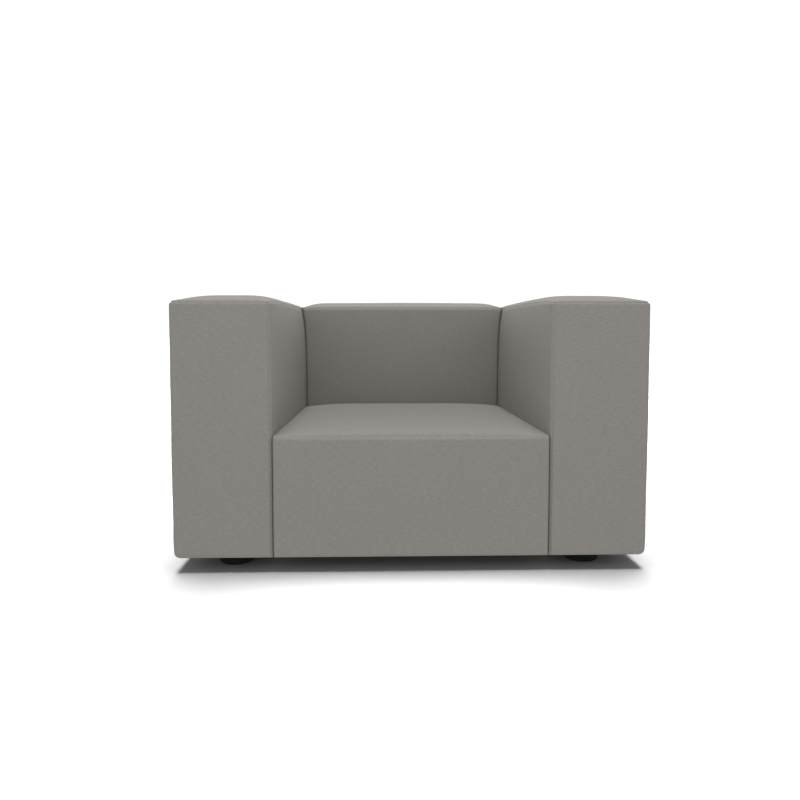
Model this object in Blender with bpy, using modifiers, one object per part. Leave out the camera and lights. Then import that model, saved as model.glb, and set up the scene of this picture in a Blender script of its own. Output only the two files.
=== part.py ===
"""Block armchair: two slab arms, a back and a seat, each an upholstered block on its own timber frame.

The four blocks stand side by side and are held together with coach screws. Each has a carcass or frame of
boards, foam over it, a sewn fabric cover that is folded under the frame, and a dust cloth below.
Metres, +Z up. The front faces -Y and the origin is on the floor, under the middle of the chair.
"""

import math

import bmesh
import bpy
from mathutils import Matrix, Vector

# Overall sizes. Heights are from the floor to the seam round the top of a cover, below its crown.
SEAT_WIDTH = 0.693
ARM_WIDTH = 0.2525
DEPTH = 0.950
BACK_THICKNESS = 0.250
ARM_HEIGHT = 0.678
BACK_HEIGHT = 0.6885
SEAT_HEIGHT = 0.344
FOOT_HEIGHT = 0.0335

# Stuffed shapes: how far each face stands out in its middle, and the radius along the edges.
ARM_CROWN = 0.022
BACK_CROWN = 0.018
SEAT_CROWN = 0.012
SEAT_DROP = 0.010
SIDE_BULGE = 0.005
FRONT_BULGE = 0.003
MATED_BULGE = 0.002
EDGE_RADIUS = 0.012
CROWN_POWER = 2.4
ARM_INNER_LEAN = 0.020
ARM_OUTER_LEAN = 0.008
LEAN_REACH = 0.062
ARM_ROWS = (1, 3, 3)
SEAT_ROWS = (3, 3, 1)
BACK_ROWS = (3, 1, 3)

# Fits between neighbours.
GAP = 0.0003
BLOCK_GAP = 0.001
FOAM_GAP = 0.0005
CUTTER_OVERSIZE = 0.050

# Fabric and cloth.
COVER_THICKNESS = 0.0016
COVER_HEM = 0.032
CLOTH_THICKNESS = 0.0012
CLOTH_MARGIN = 0.012

# Foam.
ARM_INNER_FOAM = 0.018
ARM_FRONT_FOAM = 0.014
TOP_PAD = 0.036
SEAT_FOAM = 0.105
SEAT_FRONT_FOAM = 0.020
BACK_FRONT_FOAM = 0.060
BACK_FOAM_TUCK = 0.050

# Boards and panels.
BOARD = 0.018
INNER_PANEL = 0.015
THIN_PANEL = 0.005
BOARD_ROUND = 0.0015
LOWER_RAIL_HEIGHT = 0.090
LOWER_RAIL_BOTTOM = 0.150

# Zigzag springs under the seat and webs across the back.
SPRINGS = 5
SPRING_WIRE = 0.0038
SPRING_LOOP_WIDTH = 0.050
SPRING_RUNS = 12
SPRING_ARCH = 0.006
SPRING_END_HOLD = 0.012
FELT_THICKNESS = 0.004
WEBS = 3
WEB_WIDTH = 0.050
WEB_THICKNESS = 0.002

# Feet, with a stud in each.
FOOT_RADIUS = 0.047
FOOT_TAPER = 0.003
FOOT_ROUND = 0.003
FOOT_FROM_ENDS = 0.097
FOOT_FROM_SIDE = 0.143
STUD_RADIUS = 0.004
STUD_IN_FOOT = 0.018
STUD_CLEARANCE = 0.0005

# Coach screws.
SCREW_RADIUS = 0.004
SCREW_HEAD_RADIUS = 0.0075
SCREW_HEAD_HEIGHT = 0.0055
SCREW_FLANGE_RADIUS = 0.011
SCREW_FLANGE = 0.002
SCREW_BITE = 0.013
SCREW_POINT = 0.006
SCREW_TIP_RADIUS = 0.001
SCREW_CLEARANCE = 0.0004
SEAT_SCREW_FROM_FRONT = 0.180
SEAT_SCREW_HEIGHT = 0.150
BACK_SCREW_HEIGHT = 0.450
REAR_SCREW_SPACING = 0.400

# Small finishes.
CHAMFER = 0.001
HOLE_SIDES = 12
MERGE_DISTANCE = 0.00002

# Places that follow from the sizes above.
WIDTH = SEAT_WIDTH + 2 * (BLOCK_GAP + ARM_WIDTH)
FRONT = -DEPTH / 2
REAR = DEPTH / 2
BACK_FRONT = REAR - BACK_THICKNESS
BODY_BOTTOM = FOOT_HEIGHT + 2 * GAP + CLOTH_THICKNESS
FRAME_BOTTOM = BODY_BOTTOM + COVER_THICKNESS + GAP
LINING = COVER_THICKNESS + FOAM_GAP
THIN_FOAM = EDGE_RADIUS - LINING + FOAM_GAP  # lets a frame's square corners stand clear of rounded ones
FOAM_UNDERSIDE = SEAT_HEIGHT - SEAT_DROP - SEAT_FOAM
SPRING_SEAT = FOAM_UNDERSIDE - GAP - FELT_THICKNESS - GAP - SPRING_ARCH - SPRING_WIRE
SCREW_HOLES_FROM = 0.3 * SEAT_WIDTH
FOOT_X = WIDTH / 2 - FOOT_FROM_SIDE
FOOT_Y = (FRONT + FOOT_FROM_ENDS, REAR - FOOT_FROM_ENDS)

SIDES = {"left": -1, "right": 1}
BEYOND = Vector((CUTTER_OVERSIZE, CUTTER_OVERSIZE, CUTTER_OVERSIZE))
OBJECT_NAME = "block_armchair"
CUTTER_NAME = "cutters"


def clear_scene():
    for obj in list(bpy.data.objects):
        bpy.data.objects.remove(obj)
    for name in (OBJECT_NAME, CUTTER_NAME):
        group = bpy.data.collections.new(name)
        bpy.context.scene.collection.children.link(group)


def material(name, colour, roughness, metallic=0.0):
    made = bpy.data.materials.get(name) or bpy.data.materials.new(name)
    made.use_nodes = True
    shader = made.node_tree.nodes["Principled BSDF"]
    shader.inputs["Base Color"].default_value = (*colour, 1.0)
    shader.inputs["Roughness"].default_value = roughness
    shader.inputs["Metallic"].default_value = metallic
    return made


def fabric():
    return material("grey_weave", (0.245, 0.232, 0.212), 0.9)


def foam():
    return material("foam", (0.82, 0.76, 0.58), 0.95)


def timber():
    return material("pine_board", (0.62, 0.45, 0.27), 0.6)


def plywood():
    return material("plywood", (0.68, 0.53, 0.35), 0.65)


def hardboard():
    return material("hardboard", (0.30, 0.20, 0.12), 0.7)


def dust_cloth():
    return material("dust_cloth", (0.02, 0.02, 0.022), 0.95)


def felt():
    return material("felt", (0.45, 0.44, 0.42), 0.95)


def webbing():
    return material("webbing", (0.06, 0.055, 0.05), 0.9)


def spring_steel():
    return material("spring_steel", (0.35, 0.35, 0.36), 0.4, 1.0)


def zinc_steel():
    return material("zinc_steel", (0.62, 0.62, 0.60), 0.35, 1.0)


def black_plastic():
    return material("black_plastic", (0.012, 0.012, 0.012), 0.45)


def add_object(name, data, finish=None, helper=False):
    """A new object in the chair's collection, or in the cutters' one."""
    obj = bpy.data.objects.new(name, data)
    bpy.data.collections[CUTTER_NAME if helper else OBJECT_NAME].objects.link(obj)
    if helper:
        obj.hide_render = True
        obj.display_type = "WIRE"
    if finish:
        data.materials.append(finish)
    return obj


def mesh_from(bm, name):
    mesh = bpy.data.meshes.new(name)
    bm.to_mesh(mesh)
    bm.free()
    return mesh


def box_mesh(size):
    bm = bmesh.new()
    bmesh.ops.create_cube(bm, size=1.0, matrix=Matrix.Diagonal((*size, 1.0)))
    return bm


def box(name, low, high, finish=None, helper=False):
    """A plain box between two corners, with its origin in its middle."""
    low, high = Vector(low), Vector(high)
    obj = add_object(name, mesh_from(box_mesh(high - low), name), finish, helper)
    obj.location = (low + high) / 2
    return obj


def board(name, low, high, finish):
    """A board or panel with its edges taken off."""
    obj = box(name, low, high, finish)
    edges = obj.modifiers.new("edges", "BEVEL")
    edges.width = min(BOARD_ROUND, 0.3 * min(obj.dimensions))
    edges.segments = 1
    return obj


def boolean(obj, other, operation="DIFFERENCE"):
    step = obj.modifiers.new(operation.lower(), "BOOLEAN")
    step.operation = operation
    step.object = other
    return obj


def cut_box(obj, name, low, high):
    """Takes everything between two corners out of obj."""
    return boolean(obj, box(f"{obj.name}_{name}", low, high, helper=True))


def hole(name, radius, start, end):
    """A cutter for a round hole between two points."""
    start, end = Vector(start), Vector(end)
    along = end - start
    bm = bmesh.new()
    bmesh.ops.create_cone(
        bm, cap_ends=True, segments=HOLE_SIDES, radius1=radius, radius2=radius, depth=along.length
    )
    obj = add_object(name, mesh_from(bm, name), helper=True)
    obj.location = (start + end) / 2
    obj.rotation_euler = along.to_track_quat("Z", "Y").to_euler()
    return obj


def crown(bm, half, faces, drop, leans, inset):
    """Bends the faces of a box mesh out by a pillow curve, and tilts its top down to the rear.

    First it draws its points in by the inset, so that what lies inside a cover keeps that distance from it.
    leans says how far the left and right top edges are drawn in, halfway along them.
    """
    for vert in bm.verts:
        share = [max(-1.0, min(1.0, vert.co[i] / half[i])) for i in range(3)]
        flat = [1 - abs(s) ** CROWN_POWER for s in share]
        lean = leans[0] if share[0] < 0 else leans[1]
        vert.co.x -= share[0] * lean * flat[1] * math.exp((vert.co.z - half[2]) / LEAN_REACH)
        vert.co -= inset * Vector(share)
        for (axis, sign), amount in faces.items():
            if share[axis] * sign > 0:
                across = [i for i in range(3) if i != axis]
                swell = amount * flat[across[0]] * flat[across[1]]
                vert.co[axis] += swell * share[axis]
        rise = (share[2] + 1) / 2
        vert.co.z -= drop * rise * (share[1] + 1) / 2


def soft_block(name, low, high, faces, cuts, inset=0.0, drop=0.0, leans=(0, 0), hollow=False, finish=None):
    """A stuffed block whose edges lie between two corners.

    faces says how far each face stands out in its middle, and cuts how many rows of points each axis has.
    inset draws it in all round, for what lies inside a cover. A hollow one is a shell of cover fabric, open
    below but for the hem that is folded under it.
    """
    low, high = Vector(low), Vector(high)
    half = (high - low) / 2
    bm = box_mesh(high - low)
    bmesh.ops.bevel(bm, geom=bm.edges[:], offset=EDGE_RADIUS, segments=2, profile=0.5, affect="EDGES")
    for axis in range(3):
        places = [half[axis] * (2 * (i + 1) / (cuts[axis] + 1) - 1) for i in range(cuts[axis])]
        if axis < 2:
            places += [half[axis] - COVER_HEM, COVER_HEM - half[axis]]
        for place in places:
            normal = Vector((0, 0, 0))
            normal[axis] = 1
            everything = bm.verts[:] + bm.edges[:] + bm.faces[:]
            bmesh.ops.bisect_plane(
                bm, geom=everything, dist=MERGE_DISTANCE, plane_co=normal * place, plane_no=normal
            )
    if hollow:
        open_at = Vector((half.x - COVER_HEM, half.y - COVER_HEM, 0))
        opening = [
            face
            for face in bm.faces
            if face.normal.z < -0.99
            and abs(face.calc_center_median().x) < open_at.x
            and abs(face.calc_center_median().y) < open_at.y
        ]
        bmesh.ops.delete(bm, geom=opening, context="FACES")
    # Faces are split before they bend, so that a cover and the foam in it are split alike and stay apart.
    bmesh.ops.triangulate(bm, faces=bm.faces[:], quad_method="FIXED")
    crown(bm, half, faces, drop, leans, inset)
    obj = add_object(name, mesh_from(bm, name), finish)
    obj.location = (low + high) / 2
    obj.data.shade_smooth()
    if hollow:
        shell = obj.modifiers.new("fabric", "SOLIDIFY")
        shell.thickness = COVER_THICKNESS
        shell.offset = -1
        shell.use_even_offset = True
    return obj


def turned(name, profile, finish, steps=20):
    """A solid turned about Z from (radius, height) points, which run down its outer side."""
    mesh = bpy.data.meshes.new(name)
    points = [(radius, 0, height) for radius, height in profile]
    mesh.from_pydata(points, [(i, i + 1) for i in range(len(points) - 1)], [])
    obj = add_object(name, mesh, finish)
    lathe = obj.modifiers.new("lathe", "SCREW")
    lathe.steps = lathe.render_steps = steps
    lathe.use_merge_vertices = True
    lathe.merge_threshold = MERGE_DISTANCE
    lathe.use_smooth_shade = True
    return obj


def foam_ring(name, edges, faces, rows, frame, top, **bends):
    """Foam round the four sides of a frame, from its foot up to a level top."""
    low, high = Vector(frame[0]), Vector(frame[1])
    ring = soft_block(name, *edges, faces, rows, inset=LINING, finish=foam(), **bends)
    cut_box(ring, "room", low - Vector((GAP, GAP, CUTTER_OVERSIZE)), (high.x + GAP, high.y + GAP, 1))
    cut_box(ring, "above", (*(Vector(edges[0]) - BEYOND).xy, top), Vector(edges[1]) + BEYOND)
    return ring


def foam_slab(name, edges, faces, rows, underside, **bends):
    """Foam over a frame, level below and crowned above."""
    slab = soft_block(name, *edges, faces, rows, inset=LINING, finish=foam(), **bends)
    cut_box(slab, "below", Vector(edges[0]) - BEYOND, (*(Vector(edges[1]) + BEYOND).xy, underside))
    return slab


def dust_sheet(tag, edges):
    """The cloth that closes a block from below, laid over the cover's hem."""
    low, high = Vector(edges[0]), Vector(edges[1])
    margin = Vector((CLOTH_MARGIN, CLOTH_MARGIN, 0))
    top = BODY_BOTTOM - GAP
    start = (low + margin).xy
    end = (high - margin).xy
    return board(f"{tag}_dust_cloth", (*start, top - CLOTH_THICKNESS), (*end, top), dust_cloth())


def screw_hole(name, start, end):
    return hole(name, SCREW_RADIUS + SCREW_CLEARANCE, start, end)


def span(side, near, far):
    """Lowest and highest x of something between two distances from the chair's middle, on one side."""
    ends = (SIDES[side] * near, SIDES[side] * far)
    return min(ends), max(ends)


def arm_edges(side):
    """Corners of the box that holds the edges of an arm's cover."""
    near = SEAT_WIDTH / 2 + BLOCK_GAP + SIDE_BULGE
    low_x, high_x = span(side, near, WIDTH / 2 - SIDE_BULGE)
    return (low_x, FRONT + FRONT_BULGE, BODY_BOTTOM), (high_x, REAR - FRONT_BULGE, ARM_HEIGHT)


def arm_faces():
    return {
        (0, -1): SIDE_BULGE,
        (0, 1): SIDE_BULGE,
        (1, -1): FRONT_BULGE,
        (1, 1): FRONT_BULGE,
        (2, 1): ARM_CROWN,
    }


def arm_carcass(side):
    """Corners of the timber box inside an arm."""
    near = SEAT_WIDTH / 2 + BLOCK_GAP + SIDE_BULGE + LINING + ARM_INNER_FOAM
    low_x, high_x = span(side, near, WIDTH / 2 - SIDE_BULGE - LINING - THIN_FOAM)
    low_y = FRONT + FRONT_BULGE + LINING + ARM_FRONT_FOAM
    high_y = REAR - FRONT_BULGE - LINING - THIN_FOAM
    return (low_x, low_y, FRAME_BOTTOM), (high_x, high_y, ARM_HEIGHT - TOP_PAD)


def arm(side):
    """One arm: a box of boards and panels, foam round it, a crowned pad on top, cover and dust cloth."""
    sign, tag = SIDES[side], f"arm_{side}"
    low, high = arm_carcass(side)
    inner_x = low[0] if sign > 0 else high[0]
    outer_x = high[0] if sign > 0 else low[0]
    screw_places = ((FRONT + SEAT_SCREW_FROM_FRONT, SEAT_SCREW_HEIGHT), (back_middle_y(), BACK_SCREW_HEIGHT))
    holes = [
        screw_hole(f"{tag}_hole_{i}", (sign * SCREW_HOLES_FROM, y, z), (outer_x, y, z))
        for i, (y, z) in enumerate(screw_places)
    ]

    x0, x1 = sorted((inner_x, inner_x + sign * INNER_PANEL))
    inner = board(f"{tag}_inner_panel", (x0, low[1], low[2]), (x1, high[1], high[2]), plywood())
    x0, x1 = sorted((outer_x, outer_x - sign * THIN_PANEL))
    board(f"{tag}_outer_panel", (x0, low[1], low[2]), (x1, high[1], high[2]), hardboard())
    x0, x1 = sorted((inner_x + sign * (INNER_PANEL + GAP), outer_x - sign * (THIN_PANEL + GAP)))
    board(f"{tag}_front_board", (x0, low[1], low[2]), (x1, low[1] + BOARD, high[2]), timber())
    board(f"{tag}_rear_board", (x0, high[1] - BOARD, low[2]), (x1, high[1], high[2]), timber())
    y0, y1 = low[1] + BOARD + GAP, high[1] - BOARD - GAP
    board(f"{tag}_top_board", (x0, y0, high[2] - BOARD), (x1, y1, high[2]), timber())
    bottom = board(f"{tag}_bottom_board", (x0, y0, low[2]), (x1, y1, low[2] + BOARD), timber())

    faces, edges = arm_faces(), arm_edges(side)
    leans = (ARM_OUTER_LEAN, ARM_INNER_LEAN) if sign < 0 else (ARM_INNER_LEAN, ARM_OUTER_LEAN)
    wrap = foam_ring(f"{tag}_foam_wrap", edges, faces, ARM_ROWS, (low, high), high[2], leans=leans)
    foam_slab(f"{tag}_top_pad", edges, faces, ARM_ROWS, high[2] + GAP, leans=leans)
    cover = soft_block(
        f"{tag}_cover", *edges, faces, ARM_ROWS, leans=leans, hollow=True, finish=fabric()
    )
    cloth = dust_sheet(tag, edges)
    for cutter in holes:
        for obj in (inner, wrap, cover):
            boolean(obj, cutter)
    for end, y in zip(("front", "rear"), FOOT_Y):
        start, finish = (sign * FOOT_X, y, FOOT_HEIGHT / 2), (sign * FOOT_X, y, low[2] + 2 * BOARD)
        cutter = hole(f"{tag}_{end}_stud_hole", STUD_RADIUS + STUD_CLEARANCE, start, finish)
        boolean(bottom, cutter)
        boolean(cloth, cutter)


def back_middle_y():
    """Middle of the back's posts, front to rear."""
    return (back_frame_front() + REAR - SIDE_BULGE - LINING - THIN_FOAM - THIN_PANEL) / 2


def back_frame_front():
    return BACK_FRONT + BLOCK_GAP + MATED_BULGE + LINING + BACK_FRONT_FOAM


def middle_half_width():
    """Half the width of the seat's and the back's covers at their edges."""
    return SEAT_WIDTH / 2 - MATED_BULGE


def seat_edges():
    half = middle_half_width()
    return (-half, FRONT + FRONT_BULGE, BODY_BOTTOM), (half, BACK_FRONT - MATED_BULGE, SEAT_HEIGHT)


def seat_faces():
    return {
        (0, -1): MATED_BULGE,
        (0, 1): MATED_BULGE,
        (1, -1): FRONT_BULGE,
        (1, 1): MATED_BULGE,
        (2, 1): SEAT_CROWN,
    }


def zigzag(name, x, y_from, y_to, z):
    """A zigzag spring: straight runs across, joined by half rounds, in a low arch from front to rear."""
    first, last = y_from + SPRING_END_HOLD, y_to - SPRING_END_HOLD
    pitch = (last - first) / SPRING_RUNS
    bend = pitch / 2
    reach = SPRING_LOOP_WIDTH / 2 - bend
    points = []
    for run in range(SPRING_RUNS):
        side = 1 if run % 2 else -1
        middle = first + pitch * (run + 0.5)
        for angle in (-90, -30, 30, 90):
            turn = math.radians(angle)
            points.append((side * (reach + bend * math.cos(turn)), middle + bend * math.sin(turn)))
    curve = bpy.data.curves.new(name, "CURVE")
    curve.dimensions = "3D"
    curve.bevel_depth = SPRING_WIRE / 2
    curve.bevel_resolution = 1
    curve.use_fill_caps = True
    wire = curve.splines.new("POLY")
    wire.points.add(len(points) - 1)
    for point, (across, along) in zip(wire.points, points):
        share = (along - first) / (last - first)
        point.co = (across, along, SPRING_ARCH * math.sin(math.pi * share), 1)
    obj = add_object(name, curve, spring_steel())
    obj.location = (x, 0, z)
    return obj


def seat():
    """The seat block: panels with springs over them, felt, foam, cover and dust cloth."""
    edges = edge_low, edge_high = seat_edges()
    faces = seat_faces()
    half_x = edge_high[0] - LINING - THIN_FOAM
    front_y = edge_low[1] + LINING + SEAT_FRONT_FOAM
    rear_y = edge_high[1] - LINING - THIN_FOAM
    side_top = FOAM_UNDERSIDE - GAP
    low = (-half_x, front_y, FRAME_BOTTOM)
    board("seat_front_panel", low, (half_x, front_y + BOARD, SPRING_SEAT), plywood())
    low = (-half_x, rear_y - BOARD, FRAME_BOTTOM)
    rear = board("seat_rear_panel", low, (half_x, rear_y, SPRING_SEAT), plywood())
    sides = {}
    for side in SIDES:
        x0, x1 = span(side, half_x - BOARD, half_x)
        low = (x0, front_y + BOARD + GAP, FRAME_BOTTOM)
        sides[side] = board(f"seat_{side}_panel", low, (x1, rear_y - BOARD - GAP, side_top), plywood())

    inside = 2 * (half_x - BOARD)
    for i in range(SPRINGS):
        x = inside * ((i + 0.5) / SPRINGS - 0.5)
        zigzag(f"seat_spring_{i + 1}", x, front_y, rear_y, SPRING_SEAT + GAP + SPRING_WIRE / 2)
    felt_low = (BOARD + GAP - half_x, front_y, FOAM_UNDERSIDE - GAP - FELT_THICKNESS)
    board("seat_felt", felt_low, (half_x - BOARD - GAP, rear_y, FOAM_UNDERSIDE - GAP), felt())

    frame = ((-half_x, front_y, FRAME_BOTTOM), (half_x, rear_y, side_top))
    wrap = foam_ring("seat_foam_wrap", edges, faces, SEAT_ROWS, frame, side_top, drop=SEAT_DROP)
    foam_slab("seat_foam", edges, faces, SEAT_ROWS, FOAM_UNDERSIDE, drop=SEAT_DROP)
    cover = soft_block("seat_cover", *edges, faces, SEAT_ROWS, drop=SEAT_DROP, hollow=True, finish=fabric())
    dust_sheet("seat", edges)
    for side, sign in SIDES.items():
        y, z = FRONT + SEAT_SCREW_FROM_FRONT, SEAT_SCREW_HEIGHT
        start, end = (sign * SCREW_HOLES_FROM, y, z), (sign * WIDTH / 2, y, z)
        cutter = screw_hole(f"seat_{side}_hole", start, end)
        for obj in (sides[side], wrap, cover):
            boolean(obj, cutter)
    for cutter in rear_holes():
        for obj in (rear, wrap, cover):
            boolean(obj, cutter)


def rear_hole_ends(side):
    x = SIDES[side] * REAR_SCREW_SPACING / 2
    z = LOWER_RAIL_BOTTOM + LOWER_RAIL_HEIGHT / 2
    return (x, BACK_FRONT - CUTTER_OVERSIZE, z), (x, back_frame_front(), z)


def rear_holes():
    """Cutters for the screws that join the seat to the back, made once and used on both."""
    made = []
    for side in SIDES:
        name = f"rear_hole_{side}"
        found = bpy.data.objects.get(name)
        made.append(found or screw_hole(name, *rear_hole_ends(side)))
    return made


def back():
    """The back block: posts, rails, webs, a rear panel, foam round and over them, cover and dust cloth."""
    half = middle_half_width()
    edge_low = (-half, BACK_FRONT + BLOCK_GAP + MATED_BULGE, BODY_BOTTOM)
    edge_high = (half, REAR - SIDE_BULGE, BACK_HEIGHT)
    edges = (edge_low, edge_high)
    faces = {
        (0, -1): MATED_BULGE,
        (0, 1): MATED_BULGE,
        (1, -1): MATED_BULGE,
        (1, 1): SIDE_BULGE,
        (2, 1): BACK_CROWN,
    }
    half_x = half - LINING - THIN_FOAM
    frame_front, frame_rear = back_frame_front(), edge_high[1] - LINING - THIN_FOAM
    post_rear = frame_rear - THIN_PANEL - GAP
    top = BACK_HEIGHT - TOP_PAD
    posts = {}
    for side in SIDES:
        x0, x1 = span(side, half_x - BOARD, half_x)
        low = (x0, frame_front, FRAME_BOTTOM)
        posts[side] = board(f"back_{side}_post", low, (x1, post_rear, top), timber())
    x = half_x - BOARD - GAP
    board("back_top_rail", (-x, frame_front, top - BOARD), (x, post_rear, top), timber())
    rail = board(
        "back_lower_rail",
        (-half_x, edge_low[1] + LINING, LOWER_RAIL_BOTTOM),
        (half_x, frame_front - GAP, LOWER_RAIL_BOTTOM + LOWER_RAIL_HEIGHT),
        timber(),
    )
    panel_low = (-half_x, frame_rear - THIN_PANEL, FRAME_BOTTOM)
    board("back_rear_panel", panel_low, (half_x, frame_rear, top), hardboard())
    tuck = SEAT_HEIGHT - BACK_FOAM_TUCK
    for i in range(WEBS):
        z = tuck + (top - tuck) * (i + 0.5) / WEBS
        low = (-half_x, frame_front - GAP - WEB_THICKNESS, z - WEB_WIDTH / 2)
        board(f"back_web_{i + 1}", low, (half_x, frame_front - GAP, z + WEB_WIDTH / 2), webbing())

    web_front = frame_front - GAP - WEB_THICKNESS
    frame = ((-half_x, web_front, FRAME_BOTTOM), (half_x, frame_rear, top))
    wrap = foam_ring("back_foam_wrap", edges, faces, BACK_ROWS, frame, top)
    cut_box(wrap, "tuck", Vector(edge_low) - BEYOND, (half + CUTTER_OVERSIZE, frame_front, tuck))
    foam_slab("back_top_pad", edges, faces, BACK_ROWS, top + GAP)
    cover = soft_block("back_cover", *edges, faces, BACK_ROWS, hollow=True, finish=fabric())
    dust_sheet("back", edges)
    for side, sign in SIDES.items():
        y, z = back_middle_y(), BACK_SCREW_HEIGHT
        start, end = (sign * SCREW_HOLES_FROM, y, z), (sign * WIDTH / 2, y, z)
        cutter = screw_hole(f"back_{side}_hole", start, end)
        for obj in (posts[side], wrap, cover):
            boolean(obj, cutter)
    for cutter in rear_holes():
        boolean(rail, cutter)
        boolean(cover, cutter)


def foot(side, end, y):
    """A turned plastic foot and the steel stud that fixes it to the arm's bottom board."""
    low_radius = FOOT_RADIUS - FOOT_TAPER
    bore = STUD_RADIUS + STUD_CLEARANCE
    bore_floor = FOOT_HEIGHT - STUD_IN_FOOT
    puck = turned(
        f"foot_{end}_{side}",
        [
            (0, bore_floor),
            (bore, bore_floor),
            (bore, FOOT_HEIGHT),
            (FOOT_RADIUS - CHAMFER, FOOT_HEIGHT),
            (FOOT_RADIUS, FOOT_HEIGHT - CHAMFER),
            (low_radius, FOOT_ROUND),
            (low_radius - 0.3 * FOOT_ROUND, 0.3 * FOOT_ROUND),
            (low_radius - FOOT_ROUND, 0),
            (0, 0),
        ],
        black_plastic(),
    )
    stud_low = bore_floor + GAP
    stud_high = FRAME_BOTTOM + BOARD - CHAMFER
    stud = turned(
        f"foot_stud_{end}_{side}",
        [
            (0, stud_high),
            (STUD_RADIUS - CHAMFER, stud_high),
            (STUD_RADIUS, stud_high - CHAMFER),
            (STUD_RADIUS, stud_low + CHAMFER),
            (STUD_RADIUS - CHAMFER, stud_low),
            (0, stud_low),
        ],
        zinc_steel(),
        steps=12,
    )
    for obj in (puck, stud):
        obj.location = (SIDES[side] * FOOT_X, y, 0)


def screw(name, start, end):
    """A coach screw, from the face that its flange bears on to its tip."""
    start, end = Vector(start), Vector(end)
    length = (end - start).length
    body = turned(
        name,
        [
            (0, SCREW_FLANGE),
            (SCREW_FLANGE_RADIUS, SCREW_FLANGE),
            (SCREW_FLANGE_RADIUS, 0),
            (SCREW_RADIUS, 0),
            (SCREW_RADIUS, SCREW_POINT - length),
            (SCREW_TIP_RADIUS, -length),
            (0, -length),
        ],
        zinc_steel(),
        steps=12,
    )
    bm = bmesh.new()
    bmesh.ops.create_cone(
        bm,
        cap_ends=True,
        segments=6,
        radius1=SCREW_HEAD_RADIUS,
        radius2=SCREW_HEAD_RADIUS,
        depth=SCREW_HEAD_HEIGHT + SCREW_FLANGE,
        matrix=Matrix.Translation((0, 0, SCREW_FLANGE + SCREW_HEAD_HEIGHT / 2)),
    )
    head = add_object(f"{name}_head", mesh_from(bm, f"{name}_head"), helper=True)
    boolean(body, head, "UNION")
    turn = (start - end).to_track_quat("Z", "Y").to_euler()
    for obj in (body, head):
        obj.location = start
        obj.rotation_euler = turn


def screws():
    """Six coach screws: seat to arms, back to arms and seat to back."""
    inner_face = middle_half_width() - LINING - THIN_FOAM - BOARD - GAP
    arm_panel = SEAT_WIDTH / 2 + BLOCK_GAP + SIDE_BULGE + LINING + ARM_INNER_FOAM
    for side, sign in SIDES.items():
        for block, y, z in (
            ("seat", FRONT + SEAT_SCREW_FROM_FRONT, SEAT_SCREW_HEIGHT),
            ("back", back_middle_y(), BACK_SCREW_HEIGHT),
        ):
            screw(f"{block}_screw_{side}", (sign * inner_face, y, z), (sign * (arm_panel + SCREW_BITE), y, z))
        x, _, z = rear_hole_ends(side)[0]
        bearing = BACK_FRONT - MATED_BULGE - LINING - THIN_FOAM - BOARD - GAP
        screw(f"rear_screw_{side}", (x, bearing, z), (x, BACK_FRONT + 3 * SCREW_BITE, z))


def main():
    clear_scene()
    for side in SIDES:
        arm(side)
    seat()
    back()
    for side in SIDES:
        for end, y in zip(("front", "rear"), FOOT_Y):
            foot(side, end, y)
    screws()


main()
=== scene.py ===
"""Finishes the block armchair: sewn and stuffed covers, dust cloths, feet, materials, light and camera.

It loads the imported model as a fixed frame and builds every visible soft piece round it.
Metres, +Z up. The chair faces -Y and stands on the floor at height 0.
"""

import math

import bmesh
import bpy
import numpy as np
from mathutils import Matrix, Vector, noise
from mathutils.bvhtree import BVHTree
from mathutils.interpolate import poly_3d_calc


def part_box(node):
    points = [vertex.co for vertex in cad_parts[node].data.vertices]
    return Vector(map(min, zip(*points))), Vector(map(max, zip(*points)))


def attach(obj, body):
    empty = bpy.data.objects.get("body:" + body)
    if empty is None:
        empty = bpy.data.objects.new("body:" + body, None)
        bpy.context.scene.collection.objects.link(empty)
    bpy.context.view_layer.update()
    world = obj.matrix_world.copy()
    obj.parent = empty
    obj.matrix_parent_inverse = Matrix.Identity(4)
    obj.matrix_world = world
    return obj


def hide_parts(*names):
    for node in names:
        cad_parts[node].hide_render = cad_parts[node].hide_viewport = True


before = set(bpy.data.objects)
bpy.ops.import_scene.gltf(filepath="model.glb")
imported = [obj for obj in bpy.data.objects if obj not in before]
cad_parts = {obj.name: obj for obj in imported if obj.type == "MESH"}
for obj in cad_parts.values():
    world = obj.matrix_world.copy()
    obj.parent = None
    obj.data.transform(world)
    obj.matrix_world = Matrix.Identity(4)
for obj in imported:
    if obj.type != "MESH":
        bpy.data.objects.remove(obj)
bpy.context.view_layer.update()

bl_info = {
    "name": "Block armchair",
    "version": (1, 0, 0),
    "blender": (4, 5, 0),
    "location": "3D View > Sidebar > Armchair",
    "description": "Covers, dust cloths, feet, finishes and studio for the block armchair",
    "category": "Object",
}

SIDES = {"left": -1, "right": 1}
BLOCKS = ("arm_left", "arm_right", "seat", "back")

# How the CAD covers are bent, repeated here so that what lies inside a cover stays inside it.
CROWN_POWER = 2.4
LEAN_REACH = 0.062
ARM_LEANS = {"outer": 0.008, "inner": 0.020}
SEAT_DROP = 0.010
HEM = 0.032

# How abruptly a face that the next block presses flat falls away at its ends.
PRESSED_POWER = 120

# The stuffing test: how many frames it runs for, and how stiffly the foam holds the fabric.
TEST_FRAMES = 20
PIN_STIFFNESS = 1.5
TEST_PRESSURE = 4
TEST_SLACK = -0.002

# Angles, in degrees from an edge's middle, of the rows of points that round it.
EDGE_ANGLES = (0, 5, 10, 18, 27, 36)


def box_of(*nodes):
    """Lowest and highest corner of several CAD nodes together."""
    corners = [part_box(node) for node in nodes]
    low = Vector([min(low[i] for low, _ in corners) for i in range(3)])
    high = Vector([max(high[i] for _, high in corners) for i in range(3)])
    return low, high


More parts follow.
